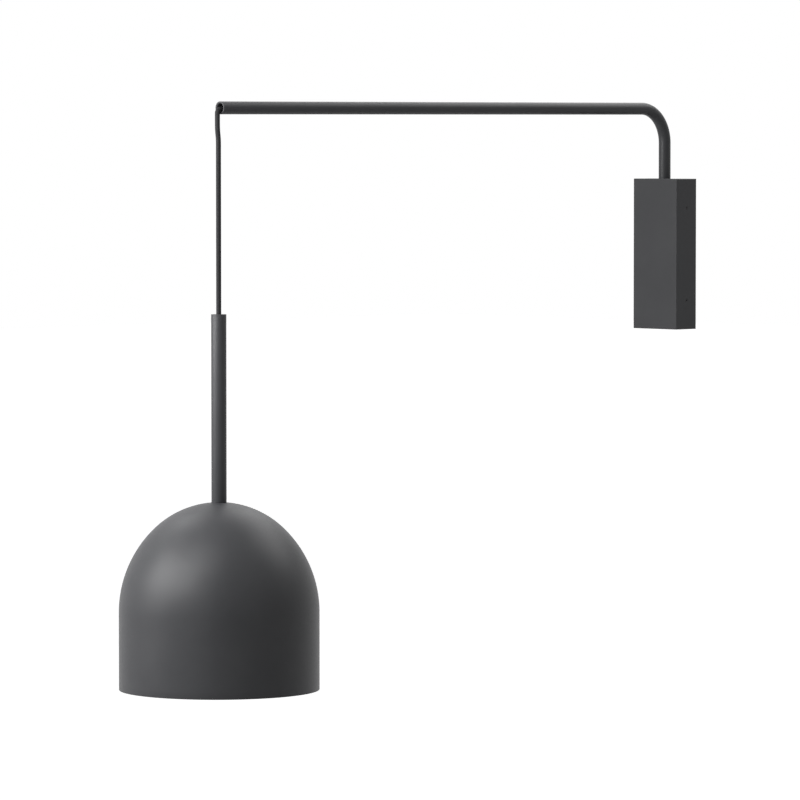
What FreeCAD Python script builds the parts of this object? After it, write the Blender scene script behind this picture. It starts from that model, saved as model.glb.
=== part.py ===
import FreeCAD, Part
import math
import os
from types import SimpleNamespace

import Sketcher

# A wall light with a long swinging arm and a pendant that hangs from the arm's end by its cord.
# Frame: the origin is the centre of the wall bracket's back face, on the wall. +X runs along the
# wall, +Y goes into the wall, +Z is up, so the light stands out towards -Y. Millimetres, degrees.

SIZES = {
    # wall box: folded sheet cover over a bracket
    "box_width": 78.0,
    "box_depth": 39.0,
    "box_height": 202.0,
    "box_wall": 1.5,
    "box_edge": 0.6,
    "cover_gap": 0.3,
    "notch_gap": 0.5,
    "side_screw_rise": 62.0,
    "side_screw_inset": 18.5,
    "side_screw_thread": 3.0,
    "side_screw_head": 6.0,
    "side_screw_length": 6.5,
    "side_socket": 2.0,
    "screw_hole_gap": 0.2,
    # wall bracket
    "plate_wall": 2.0,
    "plate_margin": 1.5,
    "tab_depth": 27.0,
    "tab_height": 24.0,
    "tab_corner": 4.0,
    "slot_spread": 48.0,
    "slot_rise": 150.0,
    "slot_width": 5.0,
    "slot_length": 10.0,
    "entry_drop": 78.0,
    "entry_hole": 16.0,
    "entry_bore": 9.0,
    "grommet_lip": 2.5,
    # pivot bracket and bushes
    "pivot_depth": 20.0,
    "ear_wall": 3.0,
    "ear_width": 34.0,
    "ear_reach": 15.5,
    "ear_corner": 10.0,
    "ear_spacing": 64.0,
    "bend_inside": 1.0,
    "bush_wall": 2.0,
    "bush_flange": 1.5,
    "bush_lip": 3.0,
    "bush_below": 4.0,
    "running_gap": 0.05,
    "thrust_gap": 0.2,
    "web_screw_spread": 20.0,
    "web_screw_rise": 30.0,
    "bolt_thread": 4.0,
    "bolt_head": 7.6,
    "bolt_head_height": 2.4,
    "bolt_head_edge": 0.9,
    "cross_length": 4.4,
    "cross_width": 1.1,
    "cross_depth": 1.5,
    # arm
    "arm_diameter": 16.0,
    "arm_wall": 1.5,
    "arm_bend": 46.0,
    "arm_rise": 94.0,
    "arm_reach": 820.0,
    "arm_lip": 0.7,
    "collar_wall": 5.0,
    "collar_height": 10.0,
    "washer_wall": 1.0,
    "nut_across": 24.0,
    "nut_height": 5.0,
    "tube_below_nut": 3.0,
    "swing_limit": 80.0,
    "stop_gap": 0.3,
    "stop_head": 7.0,
    "stop_head_height": 2.8,
    "stop_socket": 2.5,
    "stop_socket_depth": 1.7,
    "inlet_depth": 8.0,
    "inlet_flange": 1.5,
    "anchor_wall": 2.3,
    "anchor_length": 6.0,
    "tip_bush_depth": 12.0,
    "tip_recess": 0.3,
    # cord
    "cord_diameter": 6.3,
    "cord_play": 0.2,
    "cord_split": 0.3,
    "cord_sag": 1.95,
    "cord_setback": 2.4,
    "core_diameter": 2.0,
    "cord_below_anchor": 1.0,
    "box_cord_length": 17.0,
    # pendant
    "stem_drop": 61.0,
    "stem_diameter": 19.0,
    "stem_wall": 1.5,
    "stem_length": 234.4,
    "stem_lip": 0.4,
    "stem_bush_depth": 10.0,
    "insert_height": 15.0,
    "shade_diameter": 250.0,
    "shade_wall": 1.2,
    "dome_height": 137.0,
    "crown_radius": 116.0,
    "crown_width": 160.0,
    "skirt_height": 96.7,
    "seat_radius": 12.0,
    "nipple_thread": 10.0,
    "nipple_bore": 7.2,
    "nipple_above": 13.0,
    "nipple_gap": 0.1,
    "shade_washer_wall": 1.5,
    "shade_nut_across": 17.0,
    "shade_nut_height": 3.5,
    # lampholder and bulb
    "holder_gap": 1.5,
    "holder_neck_height": 8.0,
    "holder_neck_wall": 3.0,
    "holder_diameter": 38.0,
    "holder_wall": 2.0,
    "holder_shoulder": 5.0,
    "cap_skirt": 20.0,
    "holder_overlap": 6.0,
    "holder_skirt": 27.0,
    "flute_radius": 0.7,
    "flute_margin": 2.5,
    "sleeve_wall": 0.5,
    "sleeve_height": 28.0,
    "sleeve_gap": 0.4,
    "bulb_thread": 26.2,
    "bulb_cap_height": 26.0,
    "bulb_tip_height": 1.5,
    "bulb_tip_diameter": 9.0,
    "insulator_height": 3.0,
    "insulator_diameter": 18.4,
    "bulb_cone_height": 6.0,
    "bulb_diameter": 60.0,
    "bulb_length": 108.0,
    "bulb_collar_height": 36.0,
    "globe_wall": 1.0,
    "contact_gap": 0.3,
    # terminal block and earth bond
    "block_width": 32.0,
    "block_height": 22.0,
    "block_depth": 16.0,
    "block_drop": 51.0,
    "pole_pitch": 10.0,
    "pole_bore": 3.6,
    "pole_depth": 9.0,
    "pole_groove": 1.2,
    "pole_groove_depth": 2.5,
    "well_diameter": 4.8,
    "well_depth": 6.0,
    "terminal_slot": 0.8,
    "terminal_slot_depth": 1.0,
    "block_screw_spread": 10.0,
    "earth_side": 27.0,
    "earth_drop": 45.0,
    "lug_reach": 7.6,
    "lug_barrel": 2.3,
}


class Size:
    """A length or angle: its value, and the expression that gives it in the document."""

    def __init__(self, value, text):
        self.value = float(value)
        self.text = text

    def __add__(self, other):
        return joined(self, "+", other, self.value + sized(other).value)

    def __radd__(self, other):
        return sized(other) + self

    def __sub__(self, other):
        return joined(self, "-", other, self.value - sized(other).value)

    def __rsub__(self, other):
        return sized(other) - self

    def __mul__(self, other):
        return joined(self, "*", other, self.value * sized(other).value)

    def __rmul__(self, other):
        return sized(other) * self

    def __truediv__(self, other):
        return joined(self, "/", other, self.value / sized(other).value)

    def __neg__(self):
        return 0 - self


def sized(item):
    """A plain number as a Size."""
    return item if isinstance(item, Size) else Size(item, repr(float(item)))


def joined(left, sign, right, value):
    return Size(value, f"({left.text} {sign} {sized(right).text})")


def root(size):
    return Size(math.sqrt(size.value), f"sqrt({size.text})")


def arc_cosine(size):
    return Size(math.degrees(math.acos(size.value)), f"(acos({size.text}) / 1 deg)")


def arc_tangent(size):
    return Size(math.degrees(math.atan(size.value)), f"(atan({size.text}) / 1 deg)")


doc = FreeCAD.newDocument("pendant_wall_light")
nodes = []


def write_sheet():
    """Put every driving dimension in the spreadsheet, under its own alias."""
    sheet = doc.addObject("Spreadsheet::Sheet", "Sizes")
    for row, (name, value) in enumerate(SIZES.items(), start=1):
        sheet.set(f"A{row}", name)
        sheet.set(f"B{row}", str(value))
        sheet.setAlias(f"B{row}", name)
    doc.recompute()
    return SimpleNamespace(**{name: Size(value, f"Sizes.{name}") for name, value in SIZES.items()})


s = write_sheet()

FLUTES = 24
NUT_FACE = 0.95
NUT_CHAMFER = 30
# How far a cut goes past the face that it opens.
PAST_FACE = 1.0


# ---- drawing and feature helpers ----


def bind(item, name, size):
    """Set a property of an object from the sheet."""
    item.setExpression(name, sized(size).text)


def vector(*sizes):
    return FreeCAD.Vector(*[sized(size).value for size in sizes])


def turned(axis, degrees):
    return FreeCAD.Rotation(FreeCAD.Vector(*axis), degrees)


def place(item, base, rotation=None):
    """Give an object its place, with the three lengths bound to the sheet."""
    item.Placement = FreeCAD.Placement(vector(*base), rotation or FreeCAD.Rotation())
    for letter, size in zip("xyz", base):
        bind(item, f"Placement.Base.{letter}", size)
    return item


def new_body(name, base=(0, 0, 0), rotation=None):
    return place(doc.addObject("PartDesign::Body", name), base, rotation)


def keep(item, name):
    """List a finished object as one sub-part."""
    item.Label = name
    nodes.append((name, item))
    return item


def draw_on(body, name, plane, offset=0):
    """Start a sketch on one of the body's own origin planes, moved along its normal."""
    sketch = body.newObject("Sketcher::SketchObject", f"{body.Name}_{name}")
    support = [item for item in body.Origin.OriginFeatures if item.Role == plane][0]
    sketch.AttachmentSupport = [(support, "")]
    sketch.MapMode = "FlatFace"
    bind(sketch, "AttachmentOffset.Base.z", offset)
    return sketch


def hold(sketch, edge, end, x, y):
    """Fix one point of a sketch by its two distances from the origin."""
    for kind, size, axis in (("DistanceX", x, -2), ("DistanceY", y, -1)):
        size = sized(size)
        if size.text == "0.0":
            sketch.addConstraint(Sketcher.Constraint("PointOnObject", edge, end, axis))
            continue
        rule = Sketcher.Constraint(kind, -1, 1, edge, end, size.value)
        bind(sketch, f"Constraints[{sketch.addConstraint(rule)}]", size)


def circle(sketch, x, y, radius):
    edge = sketch.addGeometry(Part.Circle(vector(x, y, 0), vector(0, 0, 1), sized(radius).value))
    hold(sketch, edge, 3, x, y)
    rule = Sketcher.Constraint("Radius", edge, sized(radius).value)
    bind(sketch, f"Constraints[{sketch.addConstraint(rule)}]", radius)
    return edge


def arc_between(start, end, radius):
    """The arc from start to end, to the left (counterclockwise) where radius is above nought."""
    chord = end - start
    reach = math.sqrt(max(radius**2 - (chord.Length / 2) ** 2, 0))
    across = FreeCAD.Vector(-chord.y, chord.x, 0).normalize()
    centre = (start + end) * 0.5 + across * math.copysign(reach, radius)
    ends = [start, end] if radius > 0 else [end, start]
    angles = [math.atan2(point.y - centre.y, point.x - centre.x) for point in ends]
    ring = Part.Circle(centre, FreeCAD.Vector(0, 0, 1), abs(radius))
    return Part.ArcOfCircle(ring, angles[0], angles[1])


def hold_middle(sketch, edge, corner, following):
    """Fix the centre of a half circle level with the middle between its ends."""
    width = sized(following[0]).value - sized(corner[0]).value
    height = sized(following[1]).value - sized(corner[1]).value
    kind, index = ("DistanceX", 0) if abs(height) > abs(width) else ("DistanceY", 1)
    middle = (sized(corner[index]) + following[index]) / 2
    rule = Sketcher.Constraint(kind, -1, 1, edge, 3, middle.value)
    bind(sketch, f"Constraints[{sketch.addConstraint(rule)}]", middle)


def draw_edge(sketch, corner, following):
    """Add one side of an outline. Returns the edge with its start and end point numbers."""
    start = vector(corner[0], corner[1], 0)
    end = vector(following[0], following[1], 0)
    if len(corner) == 2:
        return sketch.addGeometry(Part.LineSegment(start, end)), 1, 2
    bend = sized(corner[2])
    edge = sketch.addGeometry(arc_between(start, end, bend.value))
    if abs((end - start).Length - 2 * abs(bend.value)) < 1e-6:
        hold_middle(sketch, edge, corner, following)
    else:
        rule = Sketcher.Constraint("Radius", edge, abs(bend.value))
        size = bend if bend.value > 0 else -bend
        bind(sketch, f"Constraints[{sketch.addConstraint(rule)}]", size)
    return (edge, 1, 2) if bend.value > 0 else (edge, 2, 1)


def outline(sketch, corners, closed=True):
    """A chain of straight sides and arcs. A corner (x, y, radius) starts an arc to the next."""
    follow = corners[1:] + corners[:1] if closed else corners[1:]
    edges = [draw_edge(sketch, corner, after) for corner, after in zip(corners, follow)]
    for (edge, start, end), corner in zip(edges, corners):
        hold(sketch, edge, start, corner[0], corner[1])
    for (edge, start, end), (after, after_start, _) in zip(edges, edges[1:]):
        sketch.addConstraint(Sketcher.Constraint("Coincident", edge, end, after, after_start))
    if closed:
        rule = Sketcher.Constraint("Coincident", edges[-1][0], edges[-1][2], edges[0][0], edges[0][1])
        sketch.addConstraint(rule)
    else:
        hold(sketch, edges[-1][0], edges[-1][2], corners[-1][0], corners[-1][1])
    return edges


def rectangle(sketch, x, y, width, height):
    """A rectangle by its centre and its two sides."""
    left, right = x - width / 2, x + width / 2
    low, high = y - height / 2, y + height / 2
    outline(sketch, [(left, low), (right, low), (right, high), (left, high)])


def slot(sketch, x, y, length, width):
    """A round-ended slot along the sketch's first direction."""
    left, right = x - (length - width) / 2, x + (length - width) / 2
    low, high = y - width / 2, y + width / 2
    outline(sketch, [(left, low), (right, low, width / 2), (right, high), (left, high, width / 2)])


def hexagon(sketch, across):
    """A hexagon about the origin, by the distance across its flats."""
    corner = across / math.sqrt(3)
    places = [(math.cos(math.radians(60 * i)), math.sin(math.radians(60 * i))) for i in range(6)]
    outline(sketch, [(corner * x, corner * y) for x, y in places])


def cross(sketch, length, width):
    """An upright cross about the origin."""
    far, near_side = length / 2, width / 2
    right = [(near_side, far), (near_side, near_side), (far, near_side)]
    right += [(far, -near_side), (near_side, -near_side), (near_side, -far)]
    outline(sketch, right + [(-x, y) for x, y in reversed(right)])


def pad(body, sketch, length, both_ways=False, back=False):
    made = body.newObject("PartDesign::Pad", f"{sketch.Name}_pad")
    made.Profile = sketch
    bind(made, "Length", length)
    made.Reversed = back
    if both_ways:
        made.SideType = "Symmetric"
    return made


def cut(body, sketch, depth=None, both_ways=False, back=False):
    """Pocket a sketch, to a depth or through everything."""
    before = solid_of(body).Volume
    made = body.newObject("PartDesign::Pocket", f"{sketch.Name}_cut")
    made.Profile = sketch
    made.Reversed = back
    if depth is None:
        made.Type = "ThroughAll"
    else:
        bind(made, "Length", depth)
    if both_ways:
        made.SideType = "Symmetric"
    if solid_of(body).Volume > before - 1e-6:
        raise ValueError(f"{made.Name} cuts nothing")
    return made


def spin(body, sketch):
    """Turn a sketch on the XZ plane about the body's own Z axis."""
    made = body.newObject("PartDesign::Revolution", f"{sketch.Name}_turn")
    made.Profile = sketch
    made.ReferenceAxis = (sketch, ["V_Axis"])
    made.Angle = 360
    return made


def groove(body, sketch):
    """Turn a sketch on the XZ plane about the body's own Z axis and cut it away."""
    before = solid_of(body).Volume
    made = body.newObject("PartDesign::Groove", f"{sketch.Name}_groove")
    made.Profile = sketch
    made.ReferenceAxis = (sketch, ["V_Axis"])
    made.Angle = 360
    if solid_of(body).Volume > before - 1e-6:
        raise ValueError(f"{made.Name} cuts nothing")
    return made


def repeat_round(body, feature, count):
    """Repeat a feature at even steps round the body's own Z axis."""
    made = body.newObject("PartDesign::PolarPattern", f"{feature.Name}_round")
    axis = [item for item in body.Origin.OriginFeatures if item.Role == "Z_Axis"][0]
    made.Originals = [feature]
    made.Axis = (axis, [""])
    made.Angle = 360
    made.Occurrences = count
    body.Tip = made
    return made


def sweep(body, profile, path, edge_count):
    made = body.newObject("PartDesign::AdditivePipe", f"{profile.Name}_sweep")
    made.Profile = profile
    made.Spine = (path, [f"Edge{i + 1}" for i in range(edge_count)])
    return made


def solid_of(body):
    doc.recompute()
    return body.Shape


def edges_where(body, test):
    """The names of the tip's edges whose middle, in the body's own frame, passes a test."""
    doc.recompute()
    found = []
    for number, edge in enumerate(body.Tip.Shape.Edges, start=1):
        middle = edge.valueAt((edge.FirstParameter + edge.LastParameter) / 2)
        if test(edge, middle):
            found.append(f"Edge{number}")
    return found


def dress(body, kind, name, test, size):
    """Fillet or chamfer the edges that pass a test."""
    names = edges_where(body, test)
    if not names:
        raise ValueError(f"{body.Name} {name} finds no edge")
    base = body.Tip
    made = body.newObject(f"PartDesign::{kind}", f"{body.Name}_{name}")
    made.Base = (base, names)
    bind(made, "Radius" if kind == "Fillet" else "Size", size)
    doc.recompute()
    return made


def near(value, target):
    return abs(value - sized(target).value) < 0.01


def along(edge, letter):
    """True for a straight edge that runs along one axis."""
    ends = edge.valueAt(edge.FirstParameter), edge.valueAt(edge.LastParameter)
    return edge.Length > 0.01 and near(abs(getattr(ends[1] - ends[0], letter)), edge.Length)


def round_edge(edge, radius):
    """True for a whole circle of that radius."""
    return edge.isClosed() and near(edge.Length, radius * 2 * math.pi)


def turned_piece(name, base, profile, rotation=None):
    """A sub-part made on a lathe: one closed profile of (radius, height) corners."""
    body = new_body(name, base, rotation)
    sketch = draw_on(body, "profile", "XZ_Plane")
    outline(sketch, profile)
    spin(body, sketch)
    return keep(body, name)


def ring_profile(inner, outer, low, high):
    return [(inner, low), (outer, low), (outer, high), (inner, high)]


def copies(name, master, places):
    """One node of identical solids: a master body, shown at each place."""
    links = []
    for number, (base, rotation) in enumerate(places, start=1):
        link = doc.addObject("App::Link", f"{name}_{number}")
        link.LinkedObject = master
        links.append(place(link, base, rotation))
    group = doc.addObject("Part::Compound", name)
    group.Links = links
    return keep(group, name)


def screw_blank(name, thread, length, head, height, edge=None):
    """A screw with no recess. Its head stands on z = 0 and the thread's plain envelope runs down."""
    body = new_body(name)
    sketch = draw_on(body, "profile", "XZ_Plane")
    corners = [(0, -length), (thread / 2, -length), (thread / 2, 0), (head / 2, 0)]
    if edge:
        corners += [(head / 2, height - edge, edge), (head / 2 - edge, height)]
    else:
        corners += [(head / 2, height)]
    outline(sketch, corners + [(0, height)])
    spin(body, sketch)
    return body


def cap_screw(name, thread, length, head, height, socket, depth):
    """A low cap screw with a hexagon socket."""
    body = screw_blank(name, thread, length, head, height)
    recess = draw_on(body, "socket", "XY_Plane", height)
    hexagon(recess, socket)
    cut(body, recess, depth)
    return body


def pan_screw(name, thread, length, head):
    """A pan-headed screw with a cross recess."""
    height = s.bolt_head_height
    body = screw_blank(name, thread, length, head, height, s.bolt_head_edge)
    recess = draw_on(body, "cross", "XY_Plane", height)
    cross(recess, s.cross_length * head / s.bolt_head, s.cross_width)
    cut(body, recess, s.cross_depth)
    return body


def slotted_screw(name, thread, length, head, height):
    """A short screw with a straight slot across its head."""
    body = screw_blank(name, thread, length, head, height)
    recess = draw_on(body, "slot", "XY_Plane", height)
    rectangle(recess, 0, 0, head + PAST_FACE, s.terminal_slot)
    cut(body, recess, s.terminal_slot_depth)
    return body


def countersunk_screw(name, thread, length, head, socket):
    """A flat-headed screw whose head's top lies on z = 0, with a cone of 90 degrees."""
    body = new_body(name)
    sketch = draw_on(body, "profile", "XZ_Plane")
    cone = (head - thread) / 2
    outline(sketch, [(0, -length), (thread / 2, -length), (thread / 2, -cone), (head / 2, 0), (0, 0)])
    spin(body, sketch)
    recess = draw_on(body, "socket", "XY_Plane")
    hexagon(recess, socket)
    cut(body, recess, cone)
    return body


def hex_nut(name, base, across, height, bore):
    """A nut whose corners are turned down above and below."""
    body = new_body(name, base)
    flats = draw_on(body, "flats", "XY_Plane")
    hexagon(flats, across)
    circle(flats, 0, 0, bore)
    pad(body, flats, height)
    face, outside = across / 2 * NUT_FACE, across / math.sqrt(3) + PAST_FACE
    drop = (outside - face) * math.tan(math.radians(NUT_CHAMFER))
    corners = draw_on(body, "corners", "XZ_Plane")
    outline(corners, [(face, 0), (outside, 0), (outside, drop)])
    outline(corners, [(face, height), (outside, height - drop), (outside, height)])
    groove(body, corners)
    return keep(body, name)


# ---- shared heights and radii, all worked out from the driving dimensions ----

FACING_OUT = turned((1, 0, 0), 90)
FACING_RIGHT = turned((0, 1, 0), 90)
FACING_LEFT = turned((0, 1, 0), -90)

box_top = s.box_height / 2
inside_half_width = s.box_width / 2 - s.box_wall
plate_half_width = inside_half_width - s.cover_gap
plate_height = s.box_height - 2 * s.box_wall - 2 * s.plate_margin
pivot_y = -s.pivot_depth
arm_radius = s.arm_diameter / 2
arm_bore = arm_radius - s.arm_wall
bush_bore = arm_radius + s.running_gap
bush_radius = bush_bore + s.bush_wall
upper_ear_top = box_top - s.box_wall - s.plate_margin - s.bush_flange
lower_ear_top = upper_ear_top - s.ear_spacing
web_face = -(s.plate_wall + s.ear_wall)
web_middle = (upper_ear_top + lower_ear_top) / 2
thrust_base = lower_ear_top + s.bush_flange + s.thrust_gap
collar_base = thrust_base + s.washer_wall
collar_radius = arm_radius + s.collar_wall
nut_top = lower_ear_top - s.ear_wall - s.bush_below - s.thrust_gap
tube_bottom = nut_top - s.nut_height - s.tube_below_nut
arm_axis_z = box_top + s.arm_rise
tip_y = pivot_y - s.arm_reach
cord_radius = s.cord_diameter / 2
cord_line_z = arm_axis_z - s.cord_sag
anchor_radius = cord_radius + s.anchor_wall
anchor_top = tube_bottom - s.inlet_flange
arm_cord_bottom = anchor_top - s.anchor_length - s.cord_below_anchor
box_cord_top = arm_cord_bottom - s.cord_split
box_cord_bottom = box_cord_top - s.box_cord_length


# ---- wall bracket, cover and their screws ----


def make_wall_bracket():
    """Back plate with four tabs folded forward for the cover's side screws."""
    body = new_body("wall_bracket")
    plate = draw_on(body, "plate", "XZ_Plane")
    rectangle(plate, 0, 0, plate_half_width * 2, plate_height)
    pad(body, plate, s.plate_wall)
    tabs = draw_on(body, "tabs", "XZ_Plane")
    for side in (-1, 1):
        for level in (-1, 1):
            middle = side * (plate_half_width - s.plate_wall / 2)
            rectangle(tabs, middle, level * s.side_screw_rise, s.plate_wall, s.tab_height)
    pad(body, tabs, s.tab_depth)
    corner = lambda edge, middle: along(edge, "x") and near(middle.y, -s.tab_depth)
    dress(body, "Fillet", "tab_corners", corner, s.tab_corner)
    threads = draw_on(body, "tab_threads", "YZ_Plane")
    for level in (-1, 1):
        circle(threads, -s.side_screw_inset, level * s.side_screw_rise, s.side_screw_thread / 2)
    cut(body, threads, both_ways=True)
    holes = draw_on(body, "holes", "XZ_Plane")
    for side in (-1, 1):
        for level in (-1, 1):
            slot(holes, side * s.slot_spread / 2, level * s.slot_rise / 2, s.slot_length, s.slot_width)
            screw_z = web_middle + level * s.web_screw_rise / 2
            circle(holes, side * s.web_screw_spread / 2, screw_z, s.bolt_thread / 2)
        circle(holes, side * s.block_screw_spread / 2, -s.block_drop, s.side_screw_thread / 2)
    circle(holes, 0, -s.entry_drop, s.entry_hole / 2)
    circle(holes, s.earth_side, -s.earth_drop, s.bolt_thread / 2)
    cut(body, holes, both_ways=True)
    return keep(body, "wall_bracket")


def make_housing():
    """Five-sided cover. A notch in its top, open to the wall, lets it slide on behind the tube."""
    body = new_body("housing")
    block = draw_on(body, "block", "XZ_Plane")
    rectangle(block, 0, 0, s.box_width, s.box_height)
    pad(body, block, s.box_depth)
    outer = lambda edge, middle: not near(middle.y, 0)
    dress(body, "Fillet", "edges", outer, s.box_edge)
    hollow = draw_on(body, "hollow", "XZ_Plane")
    rectangle(hollow, 0, 0, inside_half_width * 2, s.box_height - 2 * s.box_wall)
    cut(body, hollow, s.box_depth - s.box_wall, back=True)
    notch = draw_on(body, "notch", "XY_Plane")
    half = arm_radius + s.notch_gap
    back = PAST_FACE
    outline(notch, [(-half, back), (-half, pivot_y, half), (half, pivot_y), (half, back)])
    cut(body, notch, back=True)
    holes = draw_on(body, "screw_holes", "YZ_Plane")
    hole_radius = s.side_screw_thread / 2 + s.screw_hole_gap
    for level in (-1, 1):
        circle(holes, -s.side_screw_inset, level * s.side_screw_rise, hole_radius)
    cut(body, holes, both_ways=True)
    rim = lambda edge, middle: round_edge(edge, hole_radius) and near(
        abs(middle.x), s.box_width / 2
    )
    dress(body, "Chamfer", "countersinks", rim, s.side_screw_head / 2 - hole_radius)
    return keep(body, "housing")


def make_housing_screws():
    thread, head = s.side_screw_thread, s.side_screw_head
    master = countersunk_screw("housing_screw", thread, s.side_screw_length, head, s.side_socket)
    places = []
    for side, rotation in ((1, FACING_RIGHT), (-1, FACING_LEFT)):
        for level in (-1, 1):
            base = (side * s.box_width / 2, -s.side_screw_inset, level * s.side_screw_rise)
            places.append((base, rotation))
    return copies("housing_screws", master, places)


def make_grommet():
    """Rubber ring in the cable entry, with one lip on the room side of the plate."""
    waist = s.entry_hole / 2
    corners = [(s.entry_bore / 2, 0), (waist, 0), (waist, s.plate_wall)]
    corners += [(waist + s.grommet_lip, s.plate_wall), (waist + s.grommet_lip, s.plate_wall * 2)]
    corners += [(s.entry_bore / 2, s.plate_wall * 2)]
    turned_piece("cable_grommet", (0, 0, -s.entry_drop), corners, FACING_OUT)


# ---- pivot: bracket, screws and bushes ----


def make_pivot_bracket():
    """Steel strip folded to a C, whose two ears hold the bushes."""
    body = new_body("pivot_bracket")
    strip = draw_on(body, "strip", "YZ_Plane")
    back, front = -s.plate_wall, pivot_y - s.ear_reach
    top, upper = upper_ear_top, upper_ear_top - s.ear_wall
    lower, bottom = lower_ear_top, lower_ear_top - s.ear_wall
    corners = [(back, top), (front, top), (front, upper), (web_face, upper)]
    corners += [(web_face, lower), (front, lower), (front, bottom), (back, bottom)]
    outline(strip, corners)
    pad(body, strip, s.ear_width, both_ways=True)
    bores = draw_on(body, "bores", "XY_Plane")
    circle(bores, 0, pivot_y, bush_radius)
    cut(body, bores, both_ways=True)
    holes = draw_on(body, "screw_holes", "XZ_Plane")
    for side in (-1, 1):
        for level in (-1, 1):
            screw_z = web_middle + level * s.web_screw_rise / 2
            circle(holes, side * s.web_screw_spread / 2, screw_z, s.bolt_thread / 2 + s.screw_hole_gap)
    cut(body, holes, both_ways=True)
    inner_fold = lambda edge, middle: along(edge, "x") and near(middle.y, web_face)
    dress(body, "Fillet", "inner_folds", inner_fold, s.bend_inside)
    outer_fold = lambda edge, middle: along(edge, "x") and near(middle.y, back)
    dress(body, "Fillet", "outer_folds", outer_fold, s.bend_inside + s.ear_wall)
    nose = lambda edge, middle: along(edge, "z") and near(middle.y, front)
    dress(body, "Fillet", "noses", nose, s.ear_corner)
    return keep(body, "pivot_bracket")


def make_bracket_screws():
    length = s.ear_wall + s.plate_wall - s.cover_gap
    master = pan_screw("bracket_screw", s.bolt_thread, length, s.bolt_head)
    places = []
    for side in (-1, 1):
        for level in (-1, 1):
            screw_z = web_middle + level * s.web_screw_rise / 2
            places.append(((side * s.web_screw_spread / 2, web_face, screw_z), FACING_OUT))
    return copies("bracket_screws", master, places)


def make_bushes():
    """Plastic bushes pressed into the ears. Their flanges lie on top."""
    low = -(s.ear_wall + s.bush_below)
    lip = bush_radius + s.bush_lip
    corners = [(bush_bore, low), (bush_radius, low), (bush_radius, 0), (lip, 0)]
    corners += [(lip, s.bush_flange), (bush_bore, s.bush_flange)]
    turned_piece("upper_bush", (0, pivot_y, upper_ear_top), corners)
    turned_piece("lower_bush", (0, pivot_y, lower_ear_top), corners)


# ---- mains terminal, bonding and the cord's end in the box ----


def pole_places():
    return [-s.pole_pitch, sized(0), s.pole_pitch]


def make_terminal_block():
    """Three-pole block: wire ways run up and down, screw wells open to the front."""
    body = new_body("terminal_block", (0, -s.plate_wall, -s.block_drop))
    block = draw_on(body, "block", "XZ_Plane")
    rectangle(block, 0, 0, s.block_width, s.block_height)
    pad(body, block, s.block_depth)
    ways = draw_on(body, "wire_ways", "XY_Plane")
    for x in pole_places():
        circle(ways, x, -s.pole_depth, s.pole_bore / 2)
    cut(body, ways, both_ways=True)
    wells = draw_on(body, "wells", "XZ_Plane", s.block_depth)
    for x in pole_places():
        for level in (-1, 1):
            circle(wells, x, level * s.block_height / 4, s.well_diameter / 2)
    cut(body, wells, s.well_depth)
    grooves = draw_on(body, "pole_grooves", "XZ_Plane", s.block_depth)
    for side in (-1, 1):
        middle = side * s.pole_pitch / 2
        rectangle(grooves, middle, 0, s.pole_groove, s.block_height + PAST_FACE)
    cut(body, grooves, s.pole_groove_depth)
    seats = draw_on(body, "screw_seats", "XZ_Plane", s.block_depth)
    through = draw_on(body, "screw_holes", "XZ_Plane")
    for side in (-1, 1):
        circle(seats, side * s.block_screw_spread / 2, 0, s.side_screw_head / 2)
        circle(through, side * s.block_screw_spread / 2, 0, s.side_screw_thread / 2 + s.screw_hole_gap)
    cut(body, seats, s.block_depth - s.well_depth)
    cut(body, through, both_ways=True)
    return keep(body, "terminal_block")


def make_terminal_screws():
    thread, head_height = s.side_screw_thread, s.plate_wall
    floor = s.block_depth - s.well_depth
    length = s.plate_wall
    head = s.well_diameter - 2 * s.screw_hole_gap
    master = slotted_screw("terminal_screw", thread, length, head, head_height)
    depth = -(s.plate_wall + floor + length)
    places = []
    for x in pole_places():
        for level in (-1, 1):
            places.append(((x, depth, -s.block_drop + level * s.block_height / 4), FACING_OUT))
    return copies("terminal_screws", master, places)


def make_block_screws():
    seat = s.well_depth
    length = seat + s.plate_wall - s.cover_gap
    head = s.side_screw_head - 2 * s.screw_hole_gap
    master = pan_screw("block_screw", s.side_screw_thread, length, head)
    places = []
    for side in (-1, 1):
        base = (side * s.block_screw_spread / 2, -(s.plate_wall + seat), -s.block_drop)
        places.append((base, FACING_OUT))
    return copies("block_screws", master, places)


def route_wire(points, ease=0.45):
    """Straight runs joined by tangent arcs, each arc as large as its two runs allow."""
    points = [FreeCAD.Vector(*point) for point in points]
    edges, radii, start = [], [], points[0]
    for before, corner, after in zip(points, points[1:], points[2:]):
        run_in, run_out = corner - before, after - corner
        cutback = ease * min(run_in.Length, run_out.Length)
        half_turn = run_in.getAngle(run_out) / 2
        radii.append(cutback / math.tan(half_turn))
        enter = corner - run_in.normalize() * cutback
        leave = corner + run_out.normalize() * cutback
        chord = (enter + leave) * 0.5
        centre_way = (chord - corner).normalize()
        centre = corner + centre_way * (radii[-1] / math.cos(half_turn))
        middle = centre - centre_way * radii[-1]
        edges.append(Part.LineSegment(start, enter).toShape())
        edges.append(Part.Arc(enter, middle, leave).toShape())
        start = leave
    edges.append(Part.LineSegment(start, points[-1]).toShape())
    return Part.Wire(edges), radii


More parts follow.
